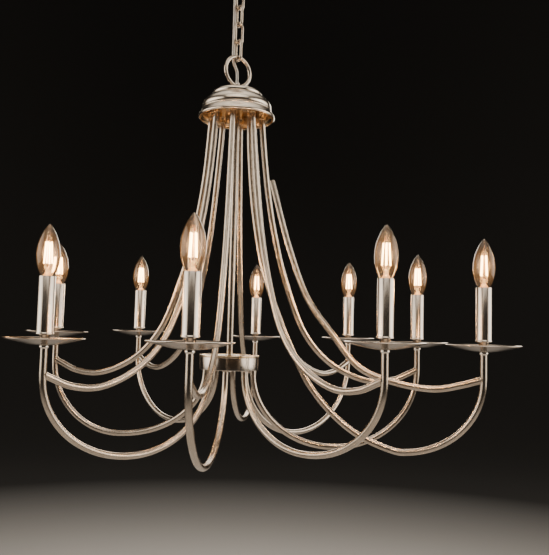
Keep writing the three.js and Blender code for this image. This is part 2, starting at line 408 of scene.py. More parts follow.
def grain_noise(tree, across, along, detail=3.0, roughness=0.55):
    """Noise on the straight, unbent piece: `across` and `along` are its scales, per metre."""
    place = add_node(tree, "Attribute", attribute_name="grain").outputs["Vector"]
    inputs = {0: place, 1: (across, across, along)}
    scaled = add_node(tree, "VectorMath", inputs, operation="MULTIPLY").outputs["Vector"]
    inputs = {"Vector": scaled, "Scale": 1.0, "Detail": detail, "Roughness": roughness}
    return add_node(tree, "TexNoise", inputs).outputs["Fac"]


def spread(tree, value, low, high, start=0.3, end=0.7):
    """Moves a value from start..end to low..high."""
    inputs = {"Value": value, "From Min": start, "From Max": end, "To Min": low, "To Max": high}
    return add_node(tree, "MapRange", inputs).outputs["Result"]


def tint(tree, value, dark, light):
    """A colour between two tints, chosen by a value from 0.3 to 0.7."""
    ramp = add_node(tree, "ValToRGB", {"Fac": value})
    ramp.color_ramp.elements[0].position = 0.3
    ramp.color_ramp.elements[0].color = (*dark, 1)
    ramp.color_ramp.elements[1].position = 0.7
    ramp.color_ramp.elements[1].color = (*light, 1)
    return ramp.outputs["Color"]


def add_bumps(tree, shader, layers):
    """Lays bumps on each other: each is (height socket, strength, distance in metres)."""
    normal = None
    for height, strength, distance in layers:
        inputs = {"Height": height, "Strength": strength, "Distance": distance}
        if normal:
            inputs["Normal"] = normal
        normal = add_node(tree, "Bump", inputs).outputs["Normal"]
    drive(shader, Normal=normal)


def metal(name, dark, light, gloss, brushed, bumpy):
    """A bare or plated metal, between two tints.

    `gloss` is its lowest and highest roughness, `brushed` the scales across and along its brush
    marks, and `bumpy` how deep they are, in metres.
    """
    material, tree, shader = new_material(name, Metallic=1.0)
    marks = grain_noise(tree, *brushed)
    smudges = grain_noise(tree, 38, 24, 4.0, 0.6)
    waves = grain_noise(tree, 60, 22, 1.0)
    low, high = gloss
    from_marks = spread(tree, marks, low, (low + high) / 2)
    from_smudges = spread(tree, smudges, 0, (high - low) / 2)
    roughness = add_node(tree, "Math", {0: from_marks, 1: from_smudges}).outputs["Value"]
    drive(shader, Base_Color=tint(tree, smudges, dark, light), Roughness=roughness)
    add_bumps(tree, shader, [(waves, 0.25, 0.25 * MM), (marks, 0.35, bumpy)])
    return material


def satin_nickel():
    """Drawn tube and wire, brushed along their length."""
    tints = (0.42, 0.355, 0.29), (0.56, 0.49, 0.415)
    return metal("satin_nickel", *tints, (0.2, 0.32), (2600, 22), 0.015 * MM)


def spun_nickel_painted_shade():
    """The dishes, spun on a lathe: their marks run round them. Their tints are darker than the arms'
    nickel, painted shade for the dark reflections under the dishes.
    """
    tints = (0.38, 0.32, 0.265), (0.5, 0.435, 0.37)
    return metal("spun_nickel_painted_shade", *tints, (0.12, 0.24), (5, 1500), 0.006 * MM)


def candle_nickel():
    """The sleeves and the hub's drum, brushed upright and brighter than the arms."""
    tints = (0.57, 0.505, 0.44), (0.69, 0.62, 0.55)
    return metal("candle_nickel", *tints, (0.13, 0.23), (2600, 16), 0.008 * MM)


def dome_nickel():
    """The spun dome and rose, polished to a soft champagne shine."""
    tints = (0.6, 0.52, 0.435), (0.72, 0.635, 0.54)
    return metal("dome_nickel", *tints, (0.14, 0.26), (6, 1500), 0.006 * MM)


def bright_nickel():
    """The small fittings and the bulbs' caps, polished, with faint smudges."""
    tints = (0.66, 0.6, 0.535), (0.76, 0.7, 0.63)
    return metal("bright_nickel", *tints, (0.08, 0.2), (1500, 60), 0.004 * MM)


def inside_dome_painted_shade():
    """The dome's inside above its lip: a dark brown painted in as shade, warmed as a painted reflection of
    the bulbs' light.
    """
    tints = (0.26, 0.165, 0.085), (0.46, 0.31, 0.17)
    return metal("inside_dome_painted_shade", *tints, (0.22, 0.38), (9, 1500), 0.02 * MM)


def brass_and_warm_reflection():
    """Brass on the ferrules and the bulbs' wires; inside the dome's lip and on the hub's lid it is a
    painted warm reflection of the bulbs' light.
    """
    tints = (0.66, 0.48, 0.29), (0.84, 0.66, 0.44)
    return metal("brass_and_warm_reflection", *tints, (0.1, 0.22), (1500, 60), 0.006 * MM)


def screw_brass():
    """The wiring's screws and the bulbs' contacts."""
    tints = (0.66, 0.45, 0.18), (0.83, 0.62, 0.28)
    return metal("screw_brass", *tints, (0.2, 0.36), (900, 900), 0.01 * MM)


def zinc_steel():
    """Zinc-plated steel, with its patches of crystals."""
    material, tree, shader = new_material("zinc_steel", Metallic=1.0)
    place = add_node(tree, "Attribute", attribute_name="grain").outputs["Vector"]
    inputs = {"Vector": place, "Scale": 210.0, "Randomness": 1.0}
    crystals = add_node(tree, "TexVoronoi", inputs).outputs["Color"]
    patch = add_node(tree, "SeparateColor", {"Color": crystals}).outputs["Red"]
    fine = grain_noise(tree, 1400, 1400)
    colours = tint(tree, patch, (0.42, 0.42, 0.42), (0.56, 0.56, 0.55))
    drive(shader, Base_Color=colours, Roughness=spread(tree, patch, 0.34, 0.52))
    add_bumps(tree, shader, [(fine, 0.2, 0.03 * MM)])
    return material


def plain_plastic(name, dark, light, roughness):
    """Moulded plastic with a fine texture and a slight mottling."""
    material, tree, shader = new_material(name, IOR=1.5)
    mottling = grain_noise(tree, 90, 90, 4.0)
    texture = grain_noise(tree, 2600, 2600)
    rough = spread(tree, mottling, roughness - 0.05, roughness + 0.08)
    drive(shader, Base_Color=tint(tree, mottling, dark, light), Roughness=rough)
    add_bumps(tree, shader, [(texture, 0.2, 0.03 * MM)])
    return material


def silver_cord():
    """Silver-grey flex: its two cores show as a slow twist under the sheath."""
    material, tree, shader = new_material("silver_cord", IOR=1.5, Metallic=0.35)
    mottling = grain_noise(tree, 220, 60, 3.0)
    twist = grain_noise(tree, 700, 140, 1.0)
    colours = tint(tree, twist, (0.36, 0.345, 0.33), (0.56, 0.545, 0.52))
    drive(shader, Base_Color=colours, Roughness=spread(tree, mottling, 0.3, 0.46))
    add_bumps(tree, shader, [(twist, 0.35, 0.15 * MM)])
    return material


def bulb_glass(name, brightest, dimmest):
    """Thin clear glass, lit from inside: it glows most beside the filaments."""
    glow_reach = 34 * MM  # above and below the filaments' middle
    material, tree, shader = new_material(
        name,
        Base_Color=(1.0, 0.965, 0.92, 1),
        IOR=1.45,
        Transmission_Weight=1.0,
        Emission_Color=(1.0, 0.45, 0.14, 1),
    )
    streaks = grain_noise(tree, 70, 45, 3.0)
    place = add_node(tree, "TexCoord").outputs["Object"]
    height = add_node(tree, "SeparateXYZ", {"Vector": place}).outputs["Z"]
    inputs = {0: height, 1: FILAMENT_MIDDLE}
    away = add_node(tree, "Math", inputs, operation="SUBTRACT").outputs["Value"]
    away = add_node(tree, "Math", {0: away}, operation="ABSOLUTE").outputs["Value"]
    glow = spread(tree, away, brightest, dimmest, 0, glow_reach)
    drive(shader, Roughness=spread(tree, streaks, 0.01, 0.06), Emission_Strength=glow)
    add_bumps(tree, shader, [(streaks, 0.1, 0.1 * MM)])
    return material


def filament_light():
    """The phosphor on a filament stick, brighter where its chips sit."""
    material, tree, shader = new_material(
        "filament_light",
        Base_Color=(1.0, 0.7, 0.3, 1),
        Roughness=0.6,
        Emission_Color=(1.0, 0.6, 0.26, 1),
    )
    chips = grain_noise(tree, 10, 900, 1.0)
    drive(shader, Emission_Strength=spread(tree, chips, 34, 70))
    return material


SATIN = satin_nickel()
SPUN_PAINTED_SHADE = spun_nickel_painted_shade()
CANDLE = candle_nickel()
DOME = dome_nickel()
BRIGHT = bright_nickel()
PAINTED_SHADE_INSIDE_DOME = inside_dome_painted_shade()
BRASS_AND_PAINTED_REFLECTION = brass_and_warm_reflection()
SCREW_BRASS = screw_brass()
ZINC = zinc_steel()
CREAM = plain_plastic("cream_plastic", (0.72, 0.68, 0.58), (0.82, 0.79, 0.7), 0.38)
GREY_RUBBER = plain_plastic("grey_rubber", (0.06, 0.06, 0.06), (0.11, 0.11, 0.105), 0.55)
NYLON = plain_plastic("white_nylon", (0.74, 0.74, 0.71), (0.84, 0.84, 0.81), 0.42)
LEAD_SHEATHS = [
    plain_plastic("brown_sheath", (0.13, 0.055, 0.025), (0.2, 0.09, 0.045), 0.4),
    plain_plastic("green_sheath", (0.05, 0.22, 0.07), (0.42, 0.45, 0.06), 0.4),
    plain_plastic("blue_sheath", (0.03, 0.1, 0.36), (0.06, 0.17, 0.5), 0.4),
]
CORD = silver_cord()
GLASS = bulb_glass("bulb_glass", 0.08, 0.01)
STEM_GLASS = bulb_glass("stem_glass", 3.0, 0.5)
FILAMENT = filament_light()


# ---- places, from the frame
def heights(node):
    """The lowest and highest height of a CAD node."""
    low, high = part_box(node)
    return low.z, high.z


def middle(node):
    """The middle of a CAD node's box."""
    low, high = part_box(node)
    return (low + high) / 2


def candle_place(n):
    """The middle of candle n's foot, turned with its arm."""
    foot = middle(f"candle_sleeve_{n}")
    foot.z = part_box(f"candle_sleeve_{n}")[0].z
    return at(foot) @ Matrix.Rotation(atan2(foot.y, foot.x), 4, "Z")


CHAIN_TURN = 36  # degrees; the ring, and every second link, stand this far round from +X
RIM, CROWN = heights("dome_canopy")
PLATE_BOTTOM, PLATE_TOP = heights("tube_plate")
HUB_BOTTOM, HUB_TOP = heights("hub_drum")
LID_BOTTOM, LID_TOP = heights("hub_lid")
STEM_BOTTOM, STEM_TOP = heights("centre_stem")
SLEEVE_BOTTOM, SLEEVE_TOP = heights("candle_sleeve_1")
SLEEVE_HEIGHT = SLEEVE_TOP - SLEEVE_BOTTOM

# The supply cord, from the terminal block straight down beside the chain, then behind the ring
# and straight down into the dome.
CORD_ROUTE = in_mm(
    [(-9.4, 2.2, z) for z in (-14, -60, -110, -160, -200)]
    + [(-8.5, 3, -208), (-5.2, 5.7, -216), (-1.9, 8.4, -224), (-1, 9.3, -232), (-1, 10.4, -244)]
    + [(-1, 11, -256), (-1, 11, -280)]
)
CORD_RADIUS = 2.8 * MM
CORD_HOLE = 3.55 * MM  # the radius of the dome's hole for it


# ---- ceiling fitting
def make_bracket():
    """A strap with rounded ends, the hook bent under it, the hook's nut and an earth screw."""
    half, wide, thick = 46 * MM, 11 * MM, 3 * MM
    corner = 5 * MM
    outline = []
    for side, edge, start in ((1, 1, 0), (-1, 1, 90), (-1, -1, 180), (1, -1, 270)):
        for step in range(5):
            turn = radians(start + 22.5 * step)
            x = side * (half - corner) + corner * cos(turn)
            y = edge * (wide - corner) + corner * sin(turn)
            outline.append((x, y))
    holes = in_mm([(-33, 0, 2.6), (33, 0, 2.6)])
    strap = plate("bracket_strap", outline, -thick, 0, holes)
    place = turn_z(CHAIN_TURN)
    attach(strap, "bracket", ZINC, ["ceiling_bracket"], place)

    wire, bend = 3 * MM, 9 * MM
    centre = heights("ceiling_bracket")[0] + wire + bend
    path = [(0, 0, -thick), (0, 0, -7 * MM)]
    for turn in range(60, -211, -15):
        path.append((bend * cos(radians(turn)), 0, centre + bend * sin(radians(turn))))
    hook = bar("bracket_hook", smooth(path, 1.2 * MM), wire, lip=0.8 * MM)
    attach(hook, "bracket", ZINC, place=place)
    nut = plate("hook_nut", circle(5.6 * MM, 6), -6.4 * MM, -3.1 * MM, [(0, 0, 3.05 * MM)])
    attach(nut, "bracket", ZINC, place=place)

    head = rounded(in_mm([(0, -6.2), (3.4, -6.2), (3.4, -3.1), (0, -3.1)]), 0.7 * MM)
    screw = turned("earth_screw", head, 32)
    screw_place = place @ at((20 * MM, 5 * MM, 0))
    attach(screw, "bracket", SCREW_BRASS, place=screw_place)


def make_terminal_block():
    """The nylon block under the strap, with its brass screws and three leads from the flex."""
    x, y, z = -24 * MM, 3 * MM, -14 * MM
    wide, long = 7 * MM, 12 * MM
    corners = [(-wide, -long), (wide, -long), (wide, long), (-wide, long)]
    block = plate("terminal_block", corners, -6 * MM, 6 * MM, bevel=0.9 * MM)
    attach(block, "bracket", NYLON, place=at((x, y, z)))
    flex_end = Vector(CORD_ROUTE[0])
    for row in range(3):
        side = (row - 1) * 7.6 * MM
        outline = rounded(in_mm([(0, -7.1), (2.2, -7.1), (2.2, -6.05), (0, -6.05)]), 0.4 * MM)
        screw = turned(f"terminal_screw_{row + 1}", outline, 24)
        place = at((x, y + side, z))
        attach(screw, "bracket", SCREW_BRASS, place=place)
        start = flex_end + Vector((0, (row - 1) * 1.5 * MM, 0.3 * MM))
        end = Vector((x + wide + 0.1 * MM, y + side, z))
        bends = [start + Vector((0, 0, 3 * MM)), end + Vector((4 * MM, 0, 1 * MM))]
        path = smooth([start, *bends, end], 0.8 * MM)
        lead = bar(f"supply_lead_{row + 1}", path, 0.9 * MM, 12, lip=0.1 * MM)
        attach(lead, "bracket", LEAD_SHEATHS[row])


def make_rose():
    """The bell-shaped cover over the wiring, with a rolled neck."""
    neck = in_mm([(20.4, -55.4), (20, -56), (20.3, -56.5), (24, -56.5)])
    bell = curved([(24, -56.5), (30.5, -54.2), (36, -50), (46, -37), (52, -20), (55, -6)], 2)
    brim = in_mm([(55.2, -4), (55.2, -0.8), (55, -0.6)])
    outer = [*neck, *bell[1:], *brim]
    outline = ring_shape([*outer, *inner_side(outer, 1.1 * MM)[::-1]])
    attach(turned("rose_cover", outline, 96), "rose", DOME, ["ceiling_rose"])


# ---- chain, ring and eye
NO_SIDE = 0.001 * MM  # the straight side of a round hoop: it keeps its two halves' ends apart


def hoop(radius, straight, spacing, start):
    """A closed loop in the XZ plane: two half circles with straight sides between them.

    `start` is how far round it the wire's joint is, from 0 to 1.
    """
    around = max(12, round(pi * radius / spacing))
    up = max(1, round(straight / spacing))
    loop = []
    for side in (1, -1):
        for i in range(up):
            loop.append(Vector((side * radius, 0, side * (i / up - 0.5) * straight)))
        for i in range(around):
            turn = pi * i / around
            z = side * (straight / 2 + radius * sin(turn))
            loop.append(Vector((side * radius * cos(turn), 0, z)))
    first = round(start * len(loop))
    return loop[first:] + loop[:first]


def make_chain():
    """Five oval links, each with the butt joint of its wire in the middle of one side."""
    wire, side, straight = 2.5 * MM, 8 * MM, 23 * MM
    loop = hoop(side, straight, 0.9 * MM, start=0.1)
    first = bar("link_1", loop, wire, 24, closed=True)
    for n in LINKS:
        link = numbered(first, "link_{}", n)
        node = f"chain_link_{n}"
        place = turn_z(CHAIN_TURN + n % 2 * 90, middle(node).z)
        attach(link, f"link_{n}", SATIN, [node], place)


def make_ring():
    """The big ring between the chain and the dome."""
    loop = hoop(28 * MM, NO_SIDE, 1.2 * MM, start=0.57)
    ring = bar("ring", loop, 3.5 * MM, 32, closed=True)
    place = turn_z(CHAIN_TURN, middle("hanging_ring").z)
    attach(ring, "ring", SATIN, ["hanging_ring"], place)


def make_eye():
    """The eye on top of the dome, its washer, and its threaded shank with a nut."""
    wire, loop_radius = 1.7 * MM, 5.7 * MM
    eye_height = heights("ring_eye")[1] - wire - loop_radius
    loop = hoop(loop_radius, NO_SIDE, 0.5 * MM, start=0.75)
    eye = bar("eye_loop", loop, wire, 24, closed=True)
    place = turn_z(CHAIN_TURN + 90, eye_height)
    attach(eye, "lamp", BRIGHT, ["ring_eye"], place)
    foot = in_mm([(0, 1.7), (2.6, 1.7), (3, 1.2), (6.4, 1.2), (7.2, 0.9), (7.2, 0.2), (6.9, 0), (0, 0)])
    washer = turned("eye_foot", raised(foot, CROWN + 0.1 * MM))
    attach(washer, "lamp", BRIGHT)
    shank_end = PLATE_BOTTOM - 3 * MM
    shank = threaded("eye_shank", 4.4 * MM, shank_end, CROWN, 1.25 * MM, 0.6 * MM)
    attach(shank, "lamp", ZINC)
    bottom, top = shank_end + 0.1 * MM, PLATE_BOTTOM - 0.1 * MM
    nut = plate("eye_nut", circle(8.4 * MM, 6), bottom, top, [(0, 0, 4.45 * MM)])
    attach(nut, "lamp", ZINC, place=turn_z(CHAIN_TURN + 90))


# ---- dome
def dome_outline():
    """The dome's outer side, from its lip up to the hole for the eye's shank."""
    edge = [(70.7, 0)]
    lip = [(71.3, 0.6), (72.2, 2.2), (71.9, 4.4), (69.6, 8.2), (66.4, 12.2), (64.9, 15.2)]
    bead = [(64.9, 15.2), (65.6, 16.4), (65.2, 17.8), (63.9, 18.4)]
    bowl = [(63.9, 18.4), (65, 21.4), (64.4, 26), (62.6, 30.2), (59.2, 34.4), (54.8, 38.2), (46.2, 44.6)]
    tier = [(46.5, 45.4), (46.5, 47.6), (45.2, 50), (42.6, 52.2), (38, 54.4)]
    tier += [(30, 56.9), (18, 58.8), (8, 59)]
    hole = [(5, 59)]
    below = [*in_mm(edge), *curved(lip), *curved(bead, 0.6)[1:]]
    return [*below, *curved(bowl)[1:], *curved(tier), *in_mm(hole)]


def make_dome():
    """A spun dome with a flared lip, a bead, a bowl and a small upper tier, painted dark inside as shade,
    with a lighter warm band inside its lip as a painted highlight.
    """
    segments = 128
    warm_highlight_top = RIM + 9 * MM
    outer = raised(dome_outline(), RIM)
    inner = inner_side(outer, 1.2 * MM)[::-1]
    dome = turned("dome", ring_shape([*outer, *inner]), segments)
    for material in (DOME, PAINTED_SHADE_INSIDE_DOME, BRASS_AND_PAINTED_REFLECTION):
        dome.data.materials.append(material)
    # Inside, the band just above the rim gets a lighter brass colour, a painted warm highlight, and the
    # rest gets a dark brown, painted shade.
    for face in dome.data.polygons:
        row = face.index // segments
        if len(outer) <= row < len(outer) + len(inner) - 1:
            face.material_index = 2 if face.center.z < warm_highlight_top else 1
    entry = Vector(CORD_ROUTE[-1])
    drill(dome, entry.x, entry.y, CORD_HOLE, CROWN, CROWN)
    attach(dome, "lamp", DOME, ["dome_canopy"])
    outline = in_mm([(2.9, -2), (3.5, -2), (3.5, 0.1), (3.8, 0.3), (3.8, 1), (3.4, 1.4), (2.9, 1.4)])
    bush = turned("cord_bush", ring_shape(outline), 40)
    place = at((entry.x, entry.y, CROWN))
    attach(bush, "lamp", GREY_RUBBER, place=place)


def make_tube_plate():
    """The plate inside the dome that the upper tubes are brazed to."""
    hole, edge = 5 * MM, 55.5 * MM
    start = (20 * MM, PLATE_BOTTOM)  # on the flat underside, so that all four corners are rounded
    corners = [(edge, PLATE_BOTTOM), (edge, PLATE_TOP), (hole, PLATE_TOP), (hole, PLATE_BOTTOM)]
    outline = rounded([start, *corners, start], 0.5 * MM)
    disc = turned("tube_plate_disc", outline, 96)
    attach(disc, "lamp", ZINC, ["tube_plate"])


# ---- stem and hub
def collar(name, bore, outer, bottom, top, soft=0.9 * MM):
    """A turned ring with rounded edges."""
    corners = [(bore, bottom), (outer, bottom), (outer, top), (bore, top), (bore, bottom)]
    return turned(name, ring_shape(rounded(corners, soft)[:-1]))


def make_stem():
    """The straight tube down the middle, with a collar at each end."""
    steps = 24
    height = STEM_TOP - STEM_BOTTOM
    path = [Vector((0, 0, STEM_BOTTOM + height * i / steps)) for i in range(steps + 1)]
    stem = bar("stem", path, 6 * MM, 32, lip=0.3 * MM)
    attach(stem, "lamp", SATIN, ["centre_stem"])
    foot = collar("stem_foot", 6.05 * MM, 7.4 * MM, LID_TOP - 0.8 * MM, LID_TOP + 1.4 * MM, 0.5 * MM)
    attach(foot, "lamp", BRIGHT)
    head = collar("stem_head", 6.05 * MM, 8.4 * MM, STEM_TOP - 9 * MM, STEM_TOP - 0.4 * MM)
    attach(head, "lamp", BRIGHT)


def make_hub():
    """The bright drum that the lower tubes meet, its lid with a sunk top, coloured brass as a painted warm
    reflection of the bulbs, and its nut.
    """
    radius, wall = 54.8 * MM, 2 * MM
    corners = [(0, HUB_BOTTOM), (radius, HUB_BOTTOM), (radius, HUB_TOP), (radius - wall, HUB_TOP)]
    inside = [(radius - wall, HUB_BOTTOM + wall), (0, HUB_BOTTOM + wall)]
    drum = turned("hub_drum_shell", rounded([*corners, *inside], 0.9 * MM), 128)
    attach(drum, "lamp", CANDLE, ["hub_drum"])

    edge, sunk = radius + 0.7 * MM, 1 * MM
    flat = radius - 2 * wall
    corners = [(0, LID_BOTTOM), (edge, LID_BOTTOM), (edge, LID_TOP), (flat, LID_TOP)]
    floor = [(flat - sunk, LID_TOP - sunk), (0, LID_TOP - sunk)]
    outline = rounded([*corners, *floor], 0.8 * MM)
    lid = turned("hub_lid_disc", outline, 128)
    # The lid's brass colour is a painted warm reflection of the bulbs' light.
    attach(lid, "lamp", BRASS_AND_PAINTED_REFLECTION, ["hub_lid"])
    outline = in_mm([(0, -5.2), (3, -5), (6, -3.6), (7.6, -1.6), (7.8, -0.1), (0, -0.1)])
    nut = turned("hub_nut", raised(rounded(outline, 0.5 * MM), HUB_BOTTOM))
    attach(nut, "lamp", BRIGHT)


# ---- arms
TUBE = 5.4 * MM  # the tubes' outer radius
TUBE_BORE = 4.3 * MM
TUBE_SIDES = 24
TUBE_SPACING = 4 * MM  # between a tube's rings of points
COLLAR_TOP = -17 * MM  # of the collar under each dish, from the candle's foot
BEND_TOP = -64 * MM  # each leg is straight above this height
BRAZE = -63 * MM  # where the upper tube meets the leg
TUBE_START = PLATE_BOTTOM - 0.3 * MM
HUB_RING = 45 * MM  # the radius of the ring in which the lower tubes stand
DOME_RING = 49 * MM  # the same for the upper tubes
ODD_RING = 28 * MM  # the same for the odd arm's lower tube

# The lowest point of the U under each candle: its distance from the centre line, and its depth
# below the candle's foot, in millimetres. Each arm was bent by hand.
LOWEST = {
    1: (208, 207),
    2: (218, 200),
    3: (240, 180),
    4: (216, 186),
    5: (217, 195),
    6: (198, 197),
    7: (215, 198),
    8: (198, 192),
    9: (317, 187),
}


class Arm:
    """One arm: its turn about the centre line, its reach, its candle's foot, its lowest point."""

    def __init__(self, n):
        foot = candle_place(n).translation
        self.turn = Matrix.Rotation(atan2(foot.y, foot.x), 4, "Z")
        self.reach = hypot(foot.x, foot.y)
        self.foot = foot.z
        low, depth = LOWEST[n]
        self.lowest = self.point(low * MM, -depth * MM)

    def point(self, radius, height):
        """A point in the arm's own plane, from its distance out and its height above the foot."""
        return Vector((radius, 0, self.foot + height))

    def points(self, rows):
        """Points in that plane, given in millimetres."""
        return [self.point(radius * MM, height * MM) for radius, height in rows]


def quarter_bend(upright, level, parts=12):
    """A quarter of an ellipse from where it is upright to where it is level, without its start."""
    made = []
    for i in range(1, parts + 1):
        turn = pi / 2 * i / parts
        x = level.x + (upright.x - level.x) * cos(turn)
        z = upright.z + (level.z - upright.z) * sin(turn)
        made.append(Vector((x, 0, z)))
    return made


def leg_route(arm):
    """The straight leg under the candle, and the outer half of the U."""
    leg = [arm.point(arm.reach, COLLAR_TOP - 3 * MM), arm.point(arm.reach, -40 * MM)]
    top = arm.point(arm.reach, BEND_TOP)
    return [*leg, top, *quarter_bend(top, arm.lowest)]


def lower_route(arm):
    """Down the leg, round the U and up under the hub."""
    start = Vector((HUB_RING, 0, HUB_BOTTOM - 5 * MM))
    inner = quarter_bend(start, arm.lowest)
    end = Vector((HUB_RING, 0, HUB_BOTTOM - 0.3 * MM))
    return [*leg_route(arm), *inner[-2::-1], start, end]


def odd_lower_route(arm):
    """The odd arm's tube misses the hub and climbs into the dome."""
    climb = [(251, -166), (200, -131), (156, -82), (126, -29), (105, 14)]
    climb += [(67, 112), (44, 215), (31, 330), (28, 400)]
    return [*leg_route(arm), *arm.points(climb), Vector((ODD_RING, 0, TUBE_START))]


def upper_route(arm):
    """From the dome down, out and up a little, to the side of the leg."""
    sweep = [(64, 290), (80, 200), (106, 105), (150, 3), (205, -52), (280, -82), (335, -79)]
    scale = arm.reach / (384 * MM)  # the sweep is written for an arm of this reach
    drop = [
        Vector((DOME_RING, 0, TUBE_START)),
        Vector((DOME_RING, 0, RIM + 18 * MM)),
        Vector((DOME_RING + 1 * MM, 0, RIM - 6 * MM)),
    ]
    return [*drop, *arm.points([(radius * scale, height) for radius, height in sweep])]


def odd_upper_route(arm):
    """The odd arm's upper tube starts in mid-air beside its neighbours, below the dome."""
    sweep = [(76, 283), (115, 155), (153, 64), (198, 6), (249, -51), (303, -71), (376, -80), (424, -70)]
    return arm.points(sweep)


def cope(piece, arm, rings=4):
    """Shapes a tube's last rings to the round side of the leg, with a small bead of braze."""
    bead, step = 0.9 * MM, 0.7 * MM
    vertices = list(piece.data.vertices)
    last = vertices[-TUBE_SIDES:]
    before = vertices[-2 * TUBE_SIDES : -TUBE_SIDES]
    centre = sum((vertex.co for vertex in last), Vector()) / TUBE_SIDES
    along = (centre - sum((vertex.co for vertex in before), Vector()) / TUBE_SIDES).normalized()
    for ring in range(rings):
        first = len(vertices) - (rings - ring) * TUBE_SIDES
        flare = bead * ((ring + 1) / rings) ** 3
        behind = (rings - 1 - ring) * step
        for vertex in vertices[first : first + TUBE_SIDES]:
            flat = vertex.co - along * (vertex.co - centre).dot(along)
            wall = arm.reach - sqrt(max(TUBE**2 - vertex.co.y**2, 0))
            to_wall = (wall - flat.x) / along.x
            vertex.co = flat + (flat - centre).normalized() * flare + along * (to_wall - behind)
    piece.data.update()


def make_arm(n):
    """The two tubes of an arm. The odd arm's upper tube has an open end in mid-air."""
    arm = Arm(n)
    odd = n == ODD_ARM
    route = odd_lower_route(arm) if odd else lower_route(arm)
    lower = bar(f"lower_tube_{n}", smooth(route, TUBE_SPACING), TUBE, TUBE_SIDES)
    attach(lower, "lamp", SATIN, [f"lower_arm_{n}"], arm.turn)
    route = odd_upper_route(arm) if odd else upper_route(arm)
    end = arm.point(arm.reach - TUBE - 2.4 * MM, BRAZE)
    path = smooth([*route, end], TUBE_SPACING)
    upper = bar(f"upper_tube_{n}", path, TUBE, TUBE_SIDES, lip=0, bore=TUBE_BORE if odd else 0)
    cope(upper, arm)
    attach(upper, "lamp", SATIN, [f"upper_arm_{n}"], arm.turn)


def make_arm_fittings():
    """On every arm: the collar under the dish and the ferrule in the dome; on all but the odd arm, the
    braze at the hub.
    """
    outline = in_mm([(5.45, -21.6), (5.7, -21.6), (6.2, -20.6), (7.3, -19.4), (7.3, -17.1), (5.45, -17.1)])
    under_dish = turned("dish_collar_1", ring_shape(rounded(outline, 0.4 * MM)), 40)
    bead = in_mm([(5.45, -2.4), (5.8, -1.9), (6.4, -0.9), (7.2, -0.15), (5.45, -0.15)])
    at_hub = turned("hub_braze_1", ring_shape(bead), 40)
    bottom = (RIM - PLATE_BOTTOM) / MM + 2
    side = [(5.45, bottom)]
    for low in (bottom, bottom + 11):
        side += [(6.2, low), (6.7, low + 0.7), (6.7, low + 1.5), (6.2, low + 2.2), (5.9, low + 2.6)]
    ferrule = turned("tube_ferrule_1", ring_shape(in_mm([*side, (5.9, -0.2), (5.45, -0.2)])), 40)
    for n in LAMPS:
        arm = Arm(n)
        piece = numbered(under_dish, "dish_collar_{}", n)
        attach(piece, "lamp", BRIGHT, place=candle_place(n))
        if n != ODD_ARM:
            piece = numbered(at_hub, "hub_braze_{}", n)
            place = arm.turn @ at((HUB_RING, 0, HUB_BOTTOM))
            attach(piece, "lamp", SATIN, place=place)
        piece = numbered(ferrule, "tube_ferrule_{}", n)
        ring = ODD_RING if n == ODD_ARM else DOME_RING
        place = arm.turn @ at((ring, 0, PLATE_BOTTOM))
        attach(piece, "lamp", BRASS_AND_PAINTED_REFLECTION, place=place)


# ---- candles
def dish_mesh():
    """A spun saucer with a rolled rim and a waisted boss in its middle."""
    below = [(8, -16.7), (14, -16.3), (25, -14.7), (36, -12.4), (48, -9.6), (57.6, -7.3)]
    rim = [(58.8, -7.1), (59.7, -6.7), (60, -6), (59.7, -5.4), (59, -5.2), (58.2, -5.6)]
    above = [(57.4, -6.3), (48, -8.6), (36, -11.4), (25, -13.6), (14, -15.1), (9.6, -15.3)]
    boss = [(9.6, -15.3), (8.3, -13.6), (7.7, -9.5), (7.7, -5), (8.4, -0.9), (8.4, -0.3)]
    bore = [(4.6, -0.3), (4.6, -16.7)]
    bowl = [*curved(below, 3), *in_mm(rim), *curved(above, 3)]
    waist = [*curved(boss, 1)[1:], *in_mm(bore)]
    return turned("drip_dish_1_bowl", ring_shape([*bowl, *waist]), 96)


def sleeve_mesh():
    """A straight bright tube with a rolled foot."""
    foot = in_mm([(11.3, 0.3), (11.6, 0), (13, 0), (13.4, 0.4), (13.4, 1.3), (13, 1.9), (12.5, 3.2)])
    lip = raised(in_mm([(12.5, -0.5), (12.2, 0), (11.6, 0), (11.3, -0.4)]), SLEEVE_HEIGHT)
    return turned("candle_tube_1", ring_shape([*foot, *lip]), 64)


def holder_mesh():
    """The plastic lamp holder inside the sleeve."""
    base = in_mm([(0, 6.5), (10.8, 6.5)])
    inside = raised(in_mm([(10.8, -2.5), (7.5, -2.5), (7.5, -27), (0, -27)]), SLEEVE_HEIGHT)
    return turned("lamp_holder_1", rounded([*base, *inside], 0.8 * MM))


def glass_mesh():
    """The bulb's thin glass: down its inner side, round its neck, and up its outer side."""
    side = [(9.8, -1.5), (10.4, 1), (13.2, 8), (15.9, 17), (17.3, 27), (17.5, 34), (16.6, 44)]
    tip = [(14.2, 54), (10.6, 63.5), (6.8, 71), (3.6, 76), (1.6, 78.4), (0, 79)]
    outer = curved([*side, *tip], 1.6)
    inner = [(max(radius, 0), height) for radius, height in inner_side(outer, 0.7 * MM)]
    inner[-1] = (0, inner[-1][1])
    return turned("bulb_glass_1", [*inner[::-1], *outer], 64)


def cap_mesh():
    """The screw cap, from its neck down to its contact."""
    return threaded("bulb_cap_1", 6.9 * MM, -21.5 * MM, -2.4 * MM, 2.8 * MM, 0.9 * MM)


def contact_mesh():
    """The cap's contact, at its bottom."""
    outline = in_mm([(0, -24), (2.2, -23.8), (3.6, -22.9), (5.6, -21.6), (0, -21.6)])
    return turned("bulb_contact_1", outline, 32)


